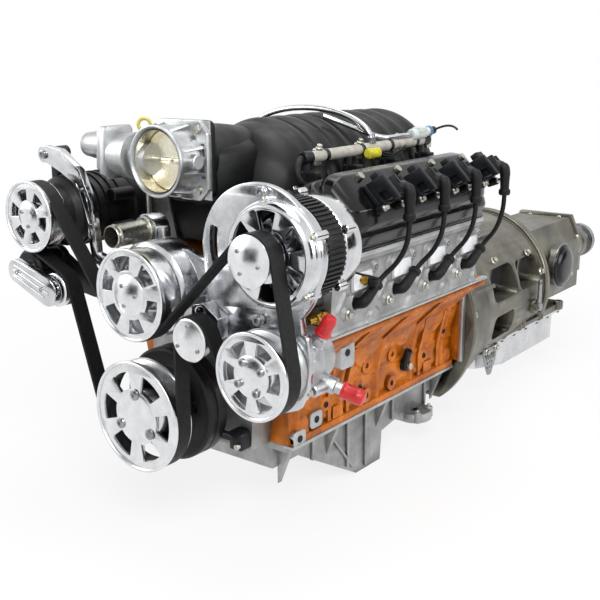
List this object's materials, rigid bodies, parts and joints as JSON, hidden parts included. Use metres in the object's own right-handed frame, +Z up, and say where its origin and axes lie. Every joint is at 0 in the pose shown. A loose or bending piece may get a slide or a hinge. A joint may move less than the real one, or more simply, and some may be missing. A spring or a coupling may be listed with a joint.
{
  "type": "v8 engine with transmission",
  "caption": "Eight-cylinder V engine with windowed billet belt drive, domed ribbed intake, side coils, front-sump pan and bolted-on automatic transmission.",
  "frame": {"origin": "centre of the sump's flat floor", "axes": "+Y rearward along the crankshaft, +Z up, +X to the driver's side"},
  "size_m": [0.6536, 1.711, 0.653],
  "materials": {
    "block_orange": "burnt orange engine enamel on cast iron",
    "raw_aluminium": "as-cast aluminium",
    "polished_billet": "machined and polished billet aluminium",
    "black_satin": "satin black powder coat",
    "black_gloss": "gloss black paint",
    "black_plastic": "moulded plastic",
    "black_rubber": "moulded rubber",
    "red_rubber": "soft red plug caps",
    "steel": "machined steel",
    "dark_iron": "cast iron",
    "zinc": "zinc plated steel",
    "brass": "turned brass",
    "case_grey": "cast aluminium case",
    "pan_bright": "pressed steel pan",
    "yellow_steel": "yellow coated steel",
    "gasket": "composite gasket sheet"
  },
  "bodies": {
    "engine": {"accessory_posts": "polished_billet", "alternator_case": "polished_billet", "bolts": "zinc", "compressor": "black_satin", "compressor_bracket": "polished_billet", "dipstick_tube": "zinc", "engine_block": "block_orange", "fuel_rails": "black_satin", "head_gaskets": "gasket", "head_left": "raw_aluminium", "head_right": "raw_aluminium", "hose_nipple": "zinc", "ignition_coils": "black_plastic", "intake_manifold": "black_satin", "oil_pan": "raw_aluminium", "plug_wires": "black_rubber", "ring_bracket": "polished_billet", "sensors": "brass", "serpentine_belt": "black_rubber", "servo_cover": "black_gloss", "spark_plugs": "steel", "steering_caps": "red_rubber", "steering_pump": "polished_billet", "tail_housing": "case_grey", "tensioner_base": "black_satin", "throttle_body": "polished_billet", "timing_chain": "steel", "timing_cover": "raw_aluminium", "transmission_case": "case_grey", "transmission_pan": "pan_bright", "valley_cover": "black_satin", "valve_covers": "black_gloss", "water_pump_housing": "polished_billet"},
    "crank_train": {"crankshaft": "dark_iron", "harmonic_damper": "black_satin", "crank_pulley": "polished_billet", "torque_converter": "steel"},
    "cam": {"camshaft": "dark_iron", "cam_sprocket": "steel"},
    "pump_rotor": {"water_pump_pulley": "polished_billet"},
    "alternator_spinner": {"alternator_rotor": "dark_iron", "alternator_pulley": "polished_billet"},
    "steering_spinner": {"steering_pulley": "polished_billet"},
    "cooling_spinner": {"compressor_pulley": "polished_billet"},
    "idler": {"idler_pulley": "polished_billet"},
    "tension_arm": {"tensioner_arm": "polished_billet"},
    "tension_roller": {"tensioner_roller": "black_satin"},
    "throttle": {"throttle_plate": "brass"},
    "output": {"output_shaft": "steel"},
    "selector": {"selector_lever": "steel"},
    "oil_stick": {"dipstick": "yellow_steel"},
    "filler_cap": {"oil_filler_cap": "black_plastic"},
    "piston_left_1": {"piston_left_1": "raw_aluminium"},
    "piston_left_2": {"piston_left_2": "raw_aluminium"},
    "piston_left_3": {"piston_left_3": "raw_aluminium"},
    "piston_left_4": {"piston_left_4": "raw_aluminium"},
    "piston_right_1": {"piston_right_1": "raw_aluminium"},
    "piston_right_2": {"piston_right_2": "raw_aluminium"},
    "piston_right_3": {"piston_right_3": "raw_aluminium"},
    "piston_right_4": {"piston_right_4": "raw_aluminium"}
  },
  "joints": [
    {"name": "crank_spin", "type": "hinge", "parent": "engine", "child": "crank_train", "pos_m": [0, -0.275, 0.213], "axis": [0, 1, 0], "continuous": true},
    {"name": "cam_spin", "type": "hinge", "parent": "engine", "child": "cam", "pos_m": [0, -0.075, 0.3378], "axis": [0, 1, 0], "continuous": true},
    {"name": "pump_spin", "type": "hinge", "parent": "engine", "child": "pump_rotor", "pos_m": [0, -0.435, 0.4015], "axis": [0, 1, 0], "continuous": true},
    {"name": "alternator_spin", "type": "hinge", "parent": "engine", "child": "alternator_spinner", "pos_m": [0.2296, -0.435, 0.481], "axis": [0, 1, 0], "continuous": true},
    {"name": "steering_spin", "type": "hinge", "parent": "engine", "child": "steering_spinner", "pos_m": [0.2308, -0.435, 0.324], "axis": [0, 1, 0], "continuous": true},
    {"name": "cooling_spin", "type": "hinge", "parent": "engine", "child": "cooling_spinner", "pos_m": [-0.2227, -0.435, 0.4948], "axis": [0, 1, 0], "continuous": true},
    {"name": "idler_spin", "type": "hinge", "parent": "engine", "child": "idler", "pos_m": [0.117, -0.435, 0.354], "axis": [0, 1, 0], "continuous": true},
    {"name": "tensioner_swing", "type": "hinge", "parent": "engine", "child": "tension_arm", "pos_m": [-0.245, -0.465, 0.408], "axis": [0, 1, 0], "range_deg": [0, 12], "stiffness_Nm_per_rad": 20, "springref_deg": -20.05},
    {"name": "roller_spin", "type": "hinge", "parent": "tension_arm", "child": "tension_roller", "pos_m": [-0.172, -0.435, 0.384], "axis": [0, 1, 0], "continuous": true},
    {"name": "throttle_turn", "type": "hinge", "parent": "engine", "child": "throttle", "pos_m": [0, -0.363, 0.589], "axis": [1, 0, 0], "range_deg": [0, 82], "stiffness_Nm_per_rad": 0.4, "springref_deg": -11.46},
    {"name": "output_spin", "type": "hinge", "parent": "engine", "child": "output", "pos_m": [0, 1.025, 0.213], "axis": [0, 1, 0], "continuous": true},
    {"name": "selector_swing", "type": "hinge", "parent": "engine", "child": "selector", "pos_m": [0.172, 0.585, 0.185], "axis": [1, 0, 0], "range_deg": [-20, 24]},
    {"name": "stick_slide", "type": "slide", "parent": "engine", "child": "oil_stick", "axis": [0, 0, 1], "range_m": [0, 0.44]},
    {"name": "cap_twist", "type": "hinge", "parent": "engine", "child": "filler_cap", "pos_m": [-0.23122, -0.203, 0.54322], "axis": [-0.7071, 0, 0.7071], "range_deg": [0, 90]},
    {"name": "piston_stroke_left_1", "type": "slide", "parent": "engine", "child": "piston_left_1", "axis": [0.7071, 0, 0.7071], "range_m": [-0.092, 0]},
    {"name": "piston_stroke_left_2", "type": "slide", "parent": "engine", "child": "piston_left_2", "axis": [0.7071, 0, 0.7071], "range_m": [-0.03902, 0.05298]},
    {"name": "piston_stroke_left_3", "type": "slide", "parent": "engine", "child": "piston_left_3", "axis": [0.7071, 0, 0.7071], "range_m": [-0.03902, 0.05298]},
    {"name": "piston_stroke_left_4", "type": "slide", "parent": "engine", "child": "piston_left_4", "axis": [0.7071, 0, 0.7071], "range_m": [0, 0.092]},
    {"name": "piston_stroke_right_1", "type": "slide", "parent": "engine", "child": "piston_right_1", "axis": [-0.7071, 0, 0.7071], "range_m": [-0.03902, 0.05298]},
    {"name": "piston_stroke_right_2", "type": "slide", "parent": "engine", "child": "piston_right_2", "axis": [-0.7071, 0, 0.7071], "range_m": [-0.092, 0]},
    {"name": "piston_stroke_right_3", "type": "slide", "parent": "engine", "child": "piston_right_3", "axis": [-0.7071, 0, 0.7071], "range_m": [0, 0.092]},
    {"name": "piston_stroke_right_4", "type": "slide", "parent": "engine", "child": "piston_right_4", "axis": [-0.7071, 0, 0.7071], "range_m": [-0.03902, 0.05298]}
  ],
  "couplings": [
    {"joint": "cam_spin", "follows": "crank_spin", "ratio": 0.5},
    {"joint": "pump_spin", "follows": "crank_spin", "ratio": -1.2259},
    {"joint": "alternator_spin", "follows": "crank_spin", "ratio": 2.5123},
    {"joint": "steering_spin", "follows": "crank_spin", "ratio": 1.4181},
    {"joint": "cooling_spin", "follows": "crank_spin", "ratio": 1.6151},
    {"joint": "idler_spin", "follows": "crank_spin", "ratio": -2.7224},
    {"joint": "roller_spin", "follows": "crank_spin", "ratio": -2.9708}
  ]
}
